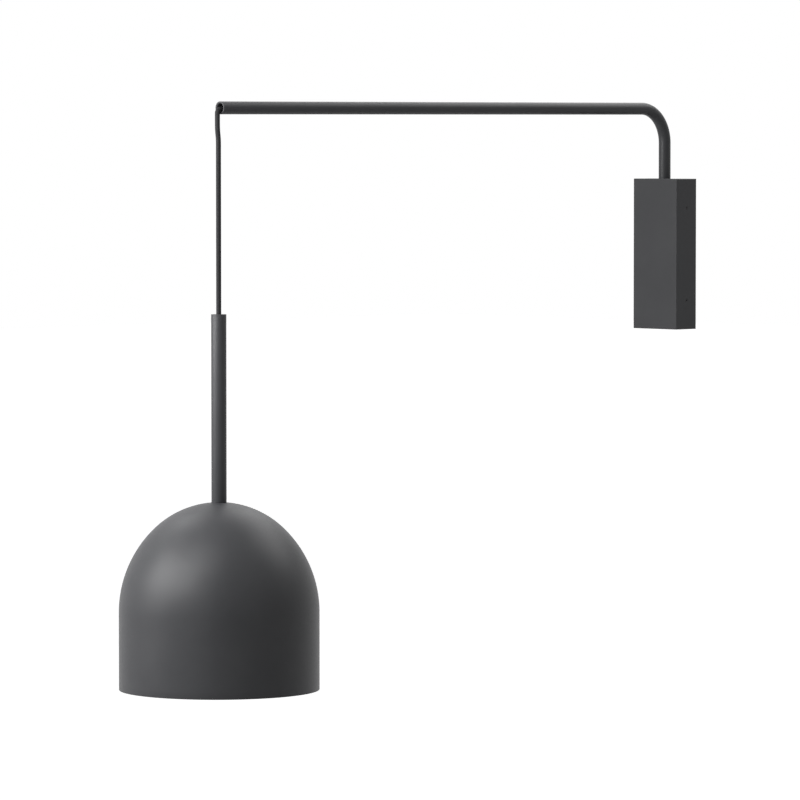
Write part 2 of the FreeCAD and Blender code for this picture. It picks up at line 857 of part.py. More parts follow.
def tube_along(name, points, radius):
    """A round solid tube along a route, with its volume tested and its radii printed."""
    wire, radii = route_wire(points)
    first = wire.Edges[0]
    ring = Part.Circle(first.valueAt(first.FirstParameter), first.tangentAt(first.FirstParameter), radius)
    solid = wire.makePipeShell([Part.Wire(ring.toShape())], True, False)
    share = solid.Volume / (math.pi * radius**2 * wire.Length)
    shown = ", ".join(f"{value:.1f}" for value in radii)
    print(f"{name}: length {wire.Length:.1f}, volume share {share:.4f}, radii {shown}")
    if abs(share - 1) > 0.01:
        raise ValueError(f"{name} has the wrong volume")
    return solid


def set_shape(name, shape):
    """A sub-part whose shape Part's own functions make."""
    item = doc.addObject("Part::Feature", name)
    item.Shape = shape
    return keep(item, name)


def make_box_cord():
    cord = doc.addObject("Part::Cylinder", "box_cord")
    bind(cord, "Radius", cord_radius)
    bind(cord, "Height", s.box_cord_length)
    place(cord, (0, pivot_y, box_cord_bottom))
    return keep(cord, "box_cord")


def core_place(angle):
    """Where a core lies in the cord: three in a ring that just touch."""
    spread = s.core_diameter / math.sqrt(3) + s.running_gap
    return spread * math.cos(math.radians(angle)), spread * math.sin(math.radians(angle))


# Where the cores start to fan out and where they are in line with the ways, as shares of the
# height between the cord's end and the block.
FAN_START, FAN_END = 0.3, 0.75


def make_cores():
    """The three insulated cores, from the stripped end of the cord to the block's upper ways."""
    core = s.core_diameter.value
    start_z = box_cord_bottom.value
    block_top = -s.block_drop.value + s.block_height.value / 2
    way_y = -(s.plate_wall + s.pole_depth).value
    pitch = s.pole_pitch.value
    routes = (("live_core", 210, -pitch), ("neutral_core", 90, 0.0), ("earth_core", 330, pitch))
    drop = start_z - block_top
    for name, angle, way_x in routes:
        x, y = (offset.value for offset in core_place(angle))
        y += pivot_y.value
        points = [(x, y, start_z), (x, y, start_z - drop * FAN_START)]
        points += [(way_x, way_y, start_z - drop * FAN_END), (way_x, way_y, block_top - core * 2)]
        set_shape(name, tube_along(name, points, core / 2))


def make_earth_screw():
    length = s.plate_wall + s.core_diameter / 2 - s.cover_gap
    body = pan_screw("earth_screw", s.bolt_thread, length, s.bolt_head)
    place(body, (s.earth_side, -(s.plate_wall + s.core_diameter / 2), -s.earth_drop), FACING_OUT)
    return keep(body, "earth_screw")


# The bonding wire's route, chosen by hand: down out of its way, across below the block, measured
# from the way's lower mouth, and up to the lug, measured from the earth screw.
BELOW_BLOCK = [(0.0, 0.0, 2.0), (0.0, 0.0, -8.0), (8.5, 0.0, -13.0)]
UP_TO_LUG = [(0.0, -3.7, -23.0), (0.0, 0.0, -12.0)]


def make_earth_lead():
    """Bonding wire from the block's lower earth way to a ring lug under the earth screw."""
    core = s.core_diameter.value
    plate = s.plate_wall.value
    lug_x, lug_z = s.earth_side.value, -s.earth_drop.value
    lug_wall, lug_radius = core / 2, s.bolt_head.value / 2
    lug_y = -plate - lug_wall
    barrel_z = lug_z - s.lug_reach.value
    barrel_top = barrel_z + s.lug_barrel.value
    way_y = -(plate + s.pole_depth.value)
    mouth = (s.pole_pitch.value, way_y, -s.block_drop.value - s.block_height.value / 2)
    lug = (lug_x, lug_y - core / 2, lug_z)
    points = [tuple(map(sum, zip(mouth, step))) for step in BELOW_BLOCK]
    points += [tuple(map(sum, zip(lug, step))) for step in UP_TO_LUG]
    points.append((lug[0], lug[1], barrel_top))
    wire = tube_along("earth_lead", points, core / 2)
    outward = FreeCAD.Vector(0, -1, 0)
    base = FreeCAD.Vector(lug_x, -plate, lug_z)
    ring = Part.makeCylinder(lug_radius, lug_wall, base, outward)
    barrel = Part.makeBox(core, lug_wall + core / 2, barrel_top - barrel_z)
    barrel.translate(FreeCAD.Vector(lug_x - core / 2, lug_y - core / 2, barrel_z))
    tongue = Part.makeBox(core, lug_wall, lug_z - barrel_z)
    tongue.translate(FreeCAD.Vector(lug_x - core / 2, lug_y, barrel_z))
    hole_radius = s.bolt_thread.value / 2 + s.running_gap.value * 2
    hole = Part.makeCylinder(hole_radius, lug_wall * 3, base - outward, outward)
    solid = wire.fuse([ring, barrel, tongue]).cut(hole).removeSplitter()
    return set_shape("earth_lead", solid.Solids[0])


# ---- arm ----


def bent_path(body, name, low, upright_y, level_z, bend, far):
    """The path of the tube or of the cord in it: up, round the bend and level out."""
    path = draw_on(body, name, "YZ_Plane")
    corners = [(upright_y, low), (upright_y, level_z - bend, bend), (upright_y - bend, level_z)]
    outline(path, corners + [(far, level_z)], closed=False)
    return path


def make_arm_tube():
    body = new_body("arm_tube")
    path = bent_path(body, "path", tube_bottom, pivot_y, arm_axis_z, s.arm_bend, tip_y)
    section = draw_on(body, "section", "XY_Plane", tube_bottom)
    circle(section, 0, pivot_y, arm_radius)
    circle(section, 0, pivot_y, arm_bore)
    sweep(body, section, path, 3)
    lip = lambda edge, middle: near(middle.y, tip_y)
    dress(body, "Fillet", "lip", lip, s.arm_lip)
    return keep(body, "arm_tube")


def make_arm_cord():
    """The cord inside the tube. It leaves the mouth a little below the tube's own axis."""
    body = new_body("arm_cord")
    bend = s.arm_bend - s.cord_sag
    far = fold_start_y + s.cord_split
    path = bent_path(body, "path", arm_cord_bottom, pivot_y, cord_line_z, bend, far)
    section = draw_on(body, "section", "XY_Plane", arm_cord_bottom)
    circle(section, 0, pivot_y, cord_radius)
    sweep(body, section, path, 3)
    return keep(body, "arm_cord")


def stop_angle():
    """Where the stop screws stand at rest, so that a head meets the web at the swing's limit."""
    reach = collar_radius + s.stop_head_height
    half = s.stop_head / 2
    diagonal = root(reach * reach + half * half)
    room = -pivot_y + web_face - s.stop_gap
    meeting = arc_tangent(half / reach) + arc_cosine(room / diagonal)
    return 180 - s.swing_limit - meeting


def make_stop_collar():
    """Ring on the tube with two radial threads for the screws that clamp it."""
    body = new_body("collar_ring", (0, pivot_y, collar_base))
    sketch = draw_on(body, "profile", "XZ_Plane")
    outline(sketch, ring_profile(arm_radius, collar_radius, 0, s.collar_height))
    spin(body, sketch)
    drills = []
    for number, side in enumerate((-1, 1), start=1):
        drill = doc.addObject("Part::Cylinder", f"collar_drill_{number}")
        bind(drill, "Radius", s.bolt_thread / 2)
        bind(drill, "Height", collar_radius + PAST_FACE)
        rotation = turned((0, 0, 1), side * stop_angle().value).multiply(FACING_OUT)
        drills.append(place(drill, (0, pivot_y, collar_base + s.collar_height / 2), rotation))
    both = doc.addObject("Part::MultiFuse", "collar_drills")
    both.Shapes = drills
    drilled = doc.addObject("Part::Cut", "stop_collar")
    drilled.Base = body
    drilled.Tool = both
    return keep(drilled, "stop_collar")


def make_collar_screws():
    length = s.collar_wall - s.running_gap
    head, height = s.stop_head, s.stop_head_height
    socket, depth = s.stop_socket, s.stop_socket_depth
    master = cap_screw("collar_screw", s.bolt_thread, length, head, height, socket, depth)
    places = []
    for side in (-1, 1):
        angle = side * stop_angle().value
        way = turned((0, 0, 1), angle).multVec(FreeCAD.Vector(0, -1, 0))
        base = (collar_radius * way.x, pivot_y + collar_radius * way.y, collar_base + s.collar_height / 2)
        places.append((base, turned((0, 0, 1), angle).multiply(FACING_OUT)))
    return copies("collar_screws", master, places)


def make_arm_fittings():
    washer_radius = bush_radius + s.bush_lip
    washer = ring_profile(bush_bore, washer_radius, 0, s.washer_wall)
    turned_piece("thrust_washer", (0, pivot_y, thrust_base), washer)
    nut_base = (0, pivot_y, nut_top - s.nut_height)
    hex_nut("lock_nut", nut_base, s.nut_across, s.nut_height, arm_radius)
    bore = cord_radius + s.running_gap
    corners = [(bore, -s.inlet_flange), (arm_radius, -s.inlet_flange), (arm_radius, 0), (arm_bore, 0)]
    corners += [(arm_bore, s.inlet_depth), (bore, s.inlet_depth)]
    turned_piece("inlet_bush", (0, pivot_y, tube_bottom), corners)
    anchor = ring_profile(cord_radius, anchor_radius, -s.anchor_length, 0)
    turned_piece("cord_anchor", (0, pivot_y, anchor_top), anchor)


def make_tip_bush():
    """Bush in the tube's mouth. Its bore flares with the radius of the cord's fold."""
    bore = s.cord_sag + cord_radius + s.cord_play
    flare = cord_radius - s.cord_play
    flare_base = -s.cord_setback
    flare_height = s.cord_setback - s.tip_recess
    flare_end = bore + flare - root(flare * flare - flare_height * flare_height)
    corners = [(bore, -s.tip_bush_depth), (arm_bore, -s.tip_bush_depth), (arm_bore, -s.tip_recess)]
    corners += [(flare_end, -s.tip_recess, flare), (bore, flare_base)]
    turned_piece("tip_bush", (0, tip_y, arm_axis_z), corners, FACING_OUT)


# ---- free cord: the fold over the lip, the kink below it and the straight part ----

# The route is chosen by hand along the photographed cord: (distance beyond the tube's mouth,
# height above or below the cord's line in the mouth). The fold's radius is one cord diameter.
FOLD_ROUTE = [(-22.0, 0.0), (-10.1, 0.1), (3.9, 0.0), (3.9, -14.0), (3.75, -25.0), (2.3, -37.0)]
PIVOT_DROP = 46.0
BALL_ABOVE_STEM = 5.0

fold_start_y = tip_y + -FOLD_ROUTE[0][0]
pendant_y = tip_y - FOLD_ROUTE[-1][0]
swing_z = cord_line_z - PIVOT_DROP
tilt_z = -s.stem_drop + BALL_ABOVE_STEM


def make_cord_fold():
    """Straight out of the mouth, over the lip and down. Its lower end is a cup for the next part."""
    mouth_y, line_z = tip_y.value, cord_line_z.value
    points = [(0, mouth_y - out, line_z + up) for out, up in FOLD_ROUTE]
    points.append((0, pendant_y.value, swing_z.value))
    radius = cord_radius.value
    tube = tube_along("cord_fold", points, radius)
    cup = Part.makeSphere(radius + s.cord_split.value, FreeCAD.Vector(*points[-1]))
    return set_shape("cord_fold", tube.cut(cup))


def make_hanging_cord():
    """The straight stretch that carries the pendant, with a ball at each end."""
    length = swing_z - tilt_z
    low = tilt_z - swing_z
    body = new_body("hanging_cord", (0, pendant_y, swing_z))
    sketch = draw_on(body, "profile", "XZ_Plane")
    corners = [(0, low - cord_radius, cord_radius), (cord_radius, low), (cord_radius, 0, cord_radius)]
    outline(sketch, corners + [(0, cord_radius)])
    spin(body, sketch)
    print(f"hanging_cord: length {length.value:.1f}")
    return keep(body, "hanging_cord")


def make_stem_cord():
    """The cord inside the stem, from a cup above the stem's top to the lampholder."""
    body = new_body("stem_cord", (0, pendant_y, tilt_z))
    cup = cord_radius + s.cord_split
    rim = root(cup * cup - cord_radius * cord_radius)
    sketch = draw_on(body, "profile", "XZ_Plane")
    low = cap_top - s.holder_neck_height - s.holder_shoulder - tilt_z
    outline(sketch, [(0, low), (cord_radius, low), (cord_radius, -rim, -cup), (0, -cup)])
    spin(body, sketch)
    return keep(body, "stem_cord")


# ---- pendant: stem, shade and what clamps them ----

stem_top = -s.stem_drop
seat_z = stem_top - s.stem_length
stem_radius = s.stem_diameter / 2
stem_bore = stem_radius - s.stem_wall
shade_radius = s.shade_diameter / 2
crown_centre = s.dome_height - s.crown_radius
# The crown meets the shoulder in this direction from its centre, and the shoulder is as large as
# it must be to meet the skirt upright, at the height skirt_end above the dome's base.
join_across = s.crown_width / 2 / s.crown_radius
join_up = root(1 - join_across * join_across)
shoulder_radius = (shade_radius - s.crown_width / 2) / (1 - join_across)
skirt_end = crown_centre + (s.crown_radius - shoulder_radius) * join_up
crown_rise = root(s.crown_radius * s.crown_radius - s.seat_radius * s.seat_radius)
dome_base = seat_z - crown_centre - crown_rise
rim_z = dome_base - s.skirt_height
nipple_radius = s.nipple_thread / 2
washer_top = seat_z - s.shade_wall
nut_z = washer_top - s.shade_washer_wall
cap_top = nut_z - s.shade_nut_height - s.holder_gap


def make_stem():
    tube = new_body("stem_tube", (0, pendant_y, seat_z))
    sketch = draw_on(tube, "profile", "XZ_Plane")
    outline(sketch, ring_profile(stem_bore, stem_radius, 0, s.stem_length))
    spin(tube, sketch)
    top_rim = lambda edge, middle: near(middle.z, s.stem_length) and near(
        math.hypot(middle.x, middle.y), stem_radius
    )
    dress(tube, "Fillet", "lip", top_rim, s.stem_lip)
    keep(tube, "stem_tube")
    bore = cord_radius + s.running_gap
    bush = ring_profile(bore, stem_bore, -s.stem_bush_depth, 0)
    turned_piece("stem_bush", (0, pendant_y, stem_top), bush)
    anchor = ring_profile(cord_radius, anchor_radius, -s.anchor_length, 0)
    turned_piece("stem_anchor", (0, pendant_y, stem_top - s.stem_bush_depth), anchor)
    insert = ring_profile(nipple_radius, stem_bore, 0, s.insert_height)
    turned_piece("stem_insert", (0, pendant_y, seat_z), insert)


def make_shade():
    """Spun aluminium: a dome of two tangent radii on a straight skirt, with a flat seat on top."""
    body = new_body("shade", (0, pendant_y, seat_z))
    sketch = draw_on(body, "profile", "XZ_Plane")
    base, low = dome_base - seat_z, rim_z - seat_z
    skirt_top = base + skirt_end
    wall = s.shade_wall
    hole = nipple_radius + s.nipple_gap
    inside = shade_radius - wall
    crown_inside, shoulder_inside = s.crown_radius - wall, shoulder_radius - wall
    seat_inside = root(crown_inside * crown_inside - (crown_rise - wall) * (crown_rise - wall))
    join = (s.crown_radius * join_across, base + crown_centre + s.crown_radius * join_up)
    join_inside = (crown_inside * join_across, base + crown_centre + crown_inside * join_up)
    corners = [(hole, 0), (s.seat_radius, 0, -s.crown_radius), (*join, -shoulder_radius)]
    corners += [(shade_radius, skirt_top), (shade_radius, low), (inside, low)]
    corners += [(inside, skirt_top, shoulder_inside), (*join_inside, crown_inside)]
    corners += [(seat_inside, -wall), (hole, -wall)]
    outline(sketch, corners)
    spin(body, sketch)
    return keep(body, "shade")


def make_shade_fixing():
    """Threaded tube through the shade's top, with the washer and nut that pull it to the stem."""
    base = cap_top - s.holder_neck_height - seat_z
    nipple = ring_profile(s.nipple_bore / 2, nipple_radius, base, s.nipple_above)
    turned_piece("nipple", (0, pendant_y, seat_z), nipple)
    hole = nipple_radius + s.nipple_gap
    washer = ring_profile(hole, s.seat_radius - s.shade_wall, -s.shade_washer_wall, 0)
    turned_piece("shade_washer", (0, pendant_y, washer_top), washer)
    nut_base = (0, pendant_y, nut_z - s.shade_nut_height)
    hex_nut("shade_nut", nut_base, s.shade_nut_across, s.shade_nut_height, nipple_radius)


# ---- lampholder and bulb ----

holder_radius = s.holder_diameter / 2
holder_bore = holder_radius - s.holder_wall
cap_shoulder_z = -(s.holder_neck_height + s.holder_shoulder)
cap_rim_z = cap_shoulder_z - s.cap_skirt
bulb_thread_radius = s.bulb_thread / 2
sleeve_bore = bulb_thread_radius + s.sleeve_gap
sleeve_radius = sleeve_bore + s.sleeve_wall
contact_z = cap_rim_z
bulb_z = contact_z - s.holder_wall - s.contact_gap


def flute_skirt(body, low, high):
    """Upright grip flutes round the skirt of a lampholder's shell."""
    sketch = draw_on(body, "flute", "XY_Plane", high - s.flute_margin)
    circle(sketch, holder_radius, 0, s.flute_radius)
    flute = cut(body, sketch, high - low - s.flute_margin * 2)
    repeat_round(body, flute, FLUTES)


def make_lampholder():
    """Cap screwed on the nipple, lower shell screwed in the cap, and the insulated inside."""
    base = (0, pendant_y, cap_top)
    neck = nipple_radius + s.holder_neck_wall
    cap = [(nipple_radius, 0), (nipple_radius, -s.holder_neck_height)]
    cap += [(neck - s.holder_wall, -s.holder_neck_height - s.holder_wall)]
    cap += [(holder_bore, cap_shoulder_z - s.holder_wall), (holder_bore, cap_rim_z)]
    cap += [(holder_radius, cap_rim_z), (holder_radius, cap_shoulder_z)]
    cap += [(neck, -s.holder_neck_height), (neck, 0)]
    flute_skirt(turned_piece("holder_cap", base, cap), cap_rim_z, cap_shoulder_z)
    low = cap_rim_z - s.holder_skirt
    top = cap_rim_z + s.holder_overlap
    inner = sleeve_radius + s.running_gap
    shell = [(inner, top), (holder_bore, top), (holder_bore, cap_rim_z), (holder_radius, cap_rim_z)]
    shell += [(holder_radius, low + s.holder_shoulder), (holder_radius - s.holder_wall / 2, low)]
    shell += [(sleeve_bore, low), (sleeve_bore, low + s.holder_wall)]
    shell += [(inner, low + s.holder_wall)]
    flute_skirt(turned_piece("holder_body", base, shell), low + s.holder_shoulder, cap_rim_z)
    disc_top = top + s.holder_overlap
    boss = sleeve_bore - s.holder_wall
    block = [(0, disc_top), (0, cap_rim_z), (boss, cap_rim_z), (boss, top), (holder_bore, top)]
    turned_piece("contact_block", base, block + [(holder_bore, disc_top)])
    sleeve = ring_profile(sleeve_bore, sleeve_radius, top - s.sleeve_height, top)
    turned_piece("socket_shell", base, sleeve)
    contact = [(0, cap_rim_z - s.holder_wall), (s.holder_wall, cap_rim_z - s.holder_wall)]
    contact += [(s.holder_wall * 2, cap_rim_z), (0, cap_rim_z)]
    turned_piece("centre_contact", base, contact)


def make_holder_cores():
    """Three short cores from the end of the sheath to the contact block."""
    master = doc.addObject("Part::Cylinder", "holder_core")
    bind(master, "Radius", s.core_diameter / 2)
    bind(master, "Height", s.cap_skirt - 2 * s.holder_overlap)
    low = cap_rim_z + 2 * s.holder_overlap + cap_top
    places = []
    for angle in (90, 210, 330):
        x, y = core_place(angle)
        places.append(((x, pendant_y + y, low), None))
    return copies("holder_cores", master, places)


def make_bulb():
    """Screw-in lamp: metal cap with its insulated tip, a tapered collar and a hollow opal globe."""
    base = (0, pendant_y, cap_top + bulb_z)
    tip_height, tip_radius = s.bulb_tip_height, s.bulb_tip_diameter / 2
    turned_piece("bulb_tip", base, [(0, -tip_height), (tip_radius, -tip_height), (tip_radius, 0), (0, 0)])
    thread, wall = bulb_thread_radius, s.sleeve_wall
    cap_low = -s.bulb_cap_height
    cone_low, cone_top = -s.bulb_cone_height, -s.insulator_height
    cone_radius = s.insulator_diameter / 2
    button = [(0, cone_low), (cone_radius, cone_top), (tip_radius, -tip_height), (0, -tip_height)]
    turned_piece("bulb_insulator", base, button)
    cap = [(thread - wall, cap_low), (thread, cap_low), (thread, cone_low)]
    cap += [(cone_radius, cone_top), (cone_radius - wall, cone_top - wall)]
    turned_piece("bulb_cap", base, cap + [(thread - wall, cone_low - wall)])
    globe_radius = s.bulb_diameter / 2
    centre = -s.bulb_length + globe_radius
    collar_low = cap_low - s.bulb_collar_height
    drop = centre - collar_low
    edge = root(globe_radius * globe_radius - drop * drop)
    neck = thread + wall
    collar = [(0, collar_low), (edge, collar_low), (neck, cap_low), (0, cap_low)]
    turned_piece("bulb_collar", base, collar)
    inside = globe_radius - s.globe_wall
    inner_edge = root(inside * inside - drop * drop)
    globe = [(0, -s.bulb_length, globe_radius), (edge, collar_low), (inner_edge, collar_low, -inside)]
    turned_piece("bulb_globe", base, globe + [(0, s.globe_wall - s.bulb_length)])


# ---- build, test and write ----


def make_all():
    make_wall_bracket()
    make_housing()
    make_housing_screws()
    make_grommet()
    make_pivot_bracket()
    make_bracket_screws()
    make_bushes()
    make_terminal_block()
    make_terminal_screws()
    make_block_screws()
    make_box_cord()
    make_cores()
    make_earth_screw()
    make_earth_lead()
    make_arm_tube()
    make_arm_cord()
    make_stop_collar()
    make_collar_screws()
    make_arm_fittings()
    make_tip_bush()
    make_cord_fold()
    make_hanging_cord()
    make_stem_cord()
    make_stem()
    make_shade()
    make_shade_fixing()
    make_lampholder()
    make_holder_cores()
    make_bulb()


def test_all():
    """Stop if any object failed, or any sub-part has no sound solid."""
    doc.recompute()
    for item in doc.Objects:
        if "Invalid" in item.State or "Error" in item.State:
            raise ValueError(f"{item.Name} failed: {item.State}")
    for name, item in nodes:
        shape = item.Shape
        if shape.isNull() or not shape.isValid() or not shape.Solids:
            raise ValueError(f"{name} has no sound solid")


def write_all():
    os.makedirs("parts", exist_ok=True)
    for name, item in nodes:
        item.Shape.exportStep(os.path.join("parts", f"{name}.step"))
    print(f"{len(nodes)} sub-parts written")


make_all()
test_all()
write_all()
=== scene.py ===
import math

import bpy
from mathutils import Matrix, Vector


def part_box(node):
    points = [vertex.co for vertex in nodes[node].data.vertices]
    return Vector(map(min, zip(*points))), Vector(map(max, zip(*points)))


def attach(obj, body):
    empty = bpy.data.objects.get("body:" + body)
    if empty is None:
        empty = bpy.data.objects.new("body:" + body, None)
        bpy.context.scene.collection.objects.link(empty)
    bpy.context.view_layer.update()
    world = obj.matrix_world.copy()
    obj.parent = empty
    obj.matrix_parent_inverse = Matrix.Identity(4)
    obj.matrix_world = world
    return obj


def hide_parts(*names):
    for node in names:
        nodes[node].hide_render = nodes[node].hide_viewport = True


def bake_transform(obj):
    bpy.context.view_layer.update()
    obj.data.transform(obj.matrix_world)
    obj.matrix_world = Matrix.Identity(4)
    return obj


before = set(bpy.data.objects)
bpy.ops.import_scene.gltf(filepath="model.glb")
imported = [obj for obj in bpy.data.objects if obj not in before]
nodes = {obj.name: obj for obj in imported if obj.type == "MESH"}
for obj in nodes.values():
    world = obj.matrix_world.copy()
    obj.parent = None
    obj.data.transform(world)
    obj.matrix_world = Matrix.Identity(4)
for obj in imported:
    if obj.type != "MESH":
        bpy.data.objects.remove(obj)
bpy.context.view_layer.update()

# A wall light with a long swinging arm and a pendant that hangs from the arm's end by its cord.
# Metres. The origin is the centre of the wall bracket's back face, on the wall. +X runs along
# the wall, +Y goes into it and +Z is up, so the light stands out towards -Y.


# ---- wall bracket and pivot bracket ----
# The back plate that is screwed to the wall, and the folded strip whose two ears carry the arm.
# Both are punched and folded sheet steel under a thin black primer.

# Most of a noise lies between these two values.
NOISE_SPREAD = (0.3, 0.7)


def start_finish(name):
    """A new material, its node tree, its shader and each point's place on the object."""
    material = bpy.data.materials.new(name)
    material.use_nodes = True
    tree = material.node_tree
    place = tree.nodes.new("ShaderNodeTexCoord").outputs["Object"]
    return material, tree, tree.nodes["Principled BSDF"], place


def add_noise(tree, place, size, detail=2.0, stretch=(1, 1, 1)):
    """Noise in blotches of about that size, drawn out along the axes that stretch names."""
    if stretch != (1, 1, 1):
        mapping = tree.nodes.new("ShaderNodeMapping")
        mapping.inputs["Scale"].default_value = [1 / share for share in stretch]
        tree.links.new(place, mapping.inputs["Vector"])
        place = mapping.outputs["Vector"]
    noise = tree.nodes.new("ShaderNodeTexNoise")
    noise.inputs["Scale"].default_value = 1 / size
    noise.inputs["Detail"].default_value = detail
    tree.links.new(place, noise.inputs["Vector"])
    return noise.outputs["Fac"]


def vary_colour(tree, shader, noise, dark, light):
    """The base colour goes from dark to light with the noise."""
    ramp = tree.nodes.new("ShaderNodeValToRGB")
    for element, position, colour in zip(ramp.color_ramp.elements, NOISE_SPREAD, (dark, light)):
        element.position = position
        element.color = (*colour, 1)
    tree.links.new(noise, ramp.inputs["Fac"])
    tree.links.new(ramp.outputs["Color"], shader.inputs["Base Color"])


def map_span(tree, source, spread, result):
    """The source, taken from one (low, high) pair to another."""
    span = tree.nodes.new("ShaderNodeMapRange")
    for socket, value in zip(("From Min", "From Max", "To Min", "To Max"), (*spread, *result)):
        span.inputs[socket].default_value = value
    tree.links.new(source, span.inputs["Value"])
    return span.outputs["Result"]


def vary_roughness(tree, shader, noise, low, high):
    """The roughness goes from low to high with the noise."""
    roughness = map_span(tree, noise, NOISE_SPREAD, (low, high))
    tree.links.new(roughness, shader.inputs["Roughness"])


def raise_surface(tree, shader, noise, height):
    """Bump of that height in metres, on top of any bump that is there already."""
    bump = tree.nodes.new("ShaderNodeBump")
    bump.inputs["Distance"].default_value = height
    for link in shader.inputs["Normal"].links:
        tree.links.new(link.from_socket, bump.inputs["Normal"])
    tree.links.new(noise, bump.inputs["Height"])
    tree.links.new(bump.outputs["Normal"], shader.inputs["Normal"])


def finish_nodes(material, *names):
    """Give carried-over CAD pieces their finish."""
    for name in names:
        nodes[name].data.materials.clear()
        nodes[name].data.materials.append(material)


black_primer, tree, shader, place = start_finish("black_primer")
cloud = add_noise(tree, place, 0.02, 3)
vary_colour(tree, shader, cloud, (0.018, 0.018, 0.019), (0.03, 0.03, 0.031))
vary_roughness(tree, shader, add_noise(tree, place, 0.004), 0.34, 0.5)
raise_surface(tree, shader, add_noise(tree, place, 0.0008), 0.00002)
finish_nodes(black_primer, "wall_bracket", "pivot_bracket")


# ---- cable grommet ----
# A soft rubber ring that keeps the supply cable off the plate's punched edge.
# Moulded in black, dull, with a bloom of fine dust in the skin.

soft_rubber, tree, shader, place = start_finish("soft_rubber")
vary_colour(tree, shader, add_noise(tree, place, 0.003, 3), (0.014, 0.014, 0.014), (0.028, 0.027, 0.026))
vary_roughness(tree, shader, add_noise(tree, place, 0.001), 0.66, 0.82)
raise_surface(tree, shader, add_noise(tree, place, 0.0003), 0.00001)
finish_nodes(soft_rubber, "cable_grommet")


# ---- fasteners and bright fittings ----
# Screws, nuts, washers and the crimped rings on the cord: turned or pressed steel with a bright
# zinc plate, which is a little cloudy and has fine marks from the tumbling barrel.

bright_zinc, tree, shader, place = start_finish("bright_zinc")
shader.inputs["Metallic"].default_value = 1
vary_colour(tree, shader, add_noise(tree, place, 0.002, 3), (0.5, 0.51, 0.53), (0.66, 0.66, 0.65))
vary_roughness(tree, shader, add_noise(tree, place, 0.0012, 4), 0.24, 0.42)
raise_surface(tree, shader, add_noise(tree, place, 0.0004), 0.000006)
finish_nodes(
    bright_zinc, "bracket_screws", "block_screws", "earth_screw", "stop_collar", "collar_screws",
    "thrust_washer", "lock_nut", "stem_insert", "nipple", "shade_washer", "shade_nut",
    "cord_anchor", "stem_anchor",
)


# ---- bushes ----
# Moulded bushes, finely satin from the mould: two that the arm turns in, one at each end of the
# arm's bore and one in the stem's top. The one in view at the arm's open end is dyed charcoal,
# and it is kept lighter than the other bushes as painted light on its shaded mouth.

bush_plastic, tree, shader, place = start_finish("bush_plastic")
vary_colour(tree, shader, add_noise(tree, place, 0.004), (0.012, 0.012, 0.013), (0.02, 0.02, 0.021))
vary_roughness(tree, shader, add_noise(tree, place, 0.0015), 0.36, 0.46)
raise_surface(tree, shader, add_noise(tree, place, 0.0003), 0.000008)
finish_nodes(bush_plastic, "upper_bush", "lower_bush", "inlet_bush", "stem_bush")

# Charcoal dye in the coat's tone, lighter than the black of the other bushes: partly the bush's own
# colour, partly painted light so that the shaded mouth does not read black.
charcoal_tip_and_painted_light, tree, shader, place = start_finish("charcoal_tip_and_painted_light")
vary_colour(tree, shader, add_noise(tree, place, 0.003), (0.03, 0.03, 0.032), (0.04, 0.04, 0.043))
vary_roughness(tree, shader, add_noise(tree, place, 0.0015), 0.42, 0.52)
raise_surface(tree, shader, add_noise(tree, place, 0.0003), 0.000004)
shader.inputs["Specular IOR Level"].default_value = 0.3
finish_nodes(charcoal_tip_and_painted_light, "tip_bush")


# ---- terminal block ----
# Three clamp terminals in a natural, slightly cloudy white polyamide body, with brass screws.
# The body is moulded, so it is smooth with faint flow marks. The same brass serves the
# lampholder's sleeve and contact and the bulb's tip.

white_polyamide, tree, shader, place = start_finish("white_polyamide")
vary_colour(tree, shader, add_noise(tree, place, 0.008, 3), (0.68, 0.66, 0.6), (0.77, 0.76, 0.71))
vary_roughness(tree, shader, add_noise(tree, place, 0.002), 0.34, 0.46)
raise_surface(tree, shader, add_noise(tree, place, 0.0006), 0.000008)
shader.inputs["Subsurface Weight"].default_value = 0.15
shader.inputs["Subsurface Scale"].default_value = 0.002
shader.inputs["Subsurface Radius"].default_value = (1, 0.9, 0.8)
finish_nodes(white_polyamide, "terminal_block")

pressed_brass, tree, shader, place = start_finish("pressed_brass")
shader.inputs["Metallic"].default_value = 1
vary_colour(tree, shader, add_noise(tree, place, 0.003, 3), (0.66, 0.47, 0.2), (0.8, 0.62, 0.32))
vary_roughness(tree, shader, add_noise(tree, place, 0.001, 3), 0.26, 0.42)
raise_surface(tree, shader, add_noise(tree, place, 0.0005), 0.000008)
finish_nodes(pressed_brass, "terminal_screws", "centre_contact", "socket_shell", "bulb_tip")


# ---- wires ----
# The cord's three insulated cores, the earth lead and the short cores in the lampholder.
# Extruded insulation: glossy, even colour with faint lines along the wire.


def wire_finish(name, dark, light):
    """Glossy insulation, its cloud and its fine lines drawn out along the wire."""
    material, tree, shader, place = start_finish(name)
    vary_colour(tree, shader, add_noise(tree, place, 0.002, 2, (1, 1, 8)), dark, light)
    vary_roughness(tree, shader, add_noise(tree, place, 0.0008), 0.28, 0.4)
    raise_surface(tree, shader, add_noise(tree, place, 0.0002, 2, (1, 1, 10)), 0.000004)
    return material


live_brown = wire_finish("live_brown", (0.11, 0.04, 0.017), (0.15, 0.06, 0.024))
finish_nodes(live_brown, "live_core", "holder_cores")
neutral_blue = wire_finish("neutral_blue", (0.02, 0.1, 0.4), (0.04, 0.14, 0.5))
finish_nodes(neutral_blue, "neutral_core")

# The earth wires are striped in green and yellow, with a stripe about every 7 mm.
STRIPE_SCALE = 90

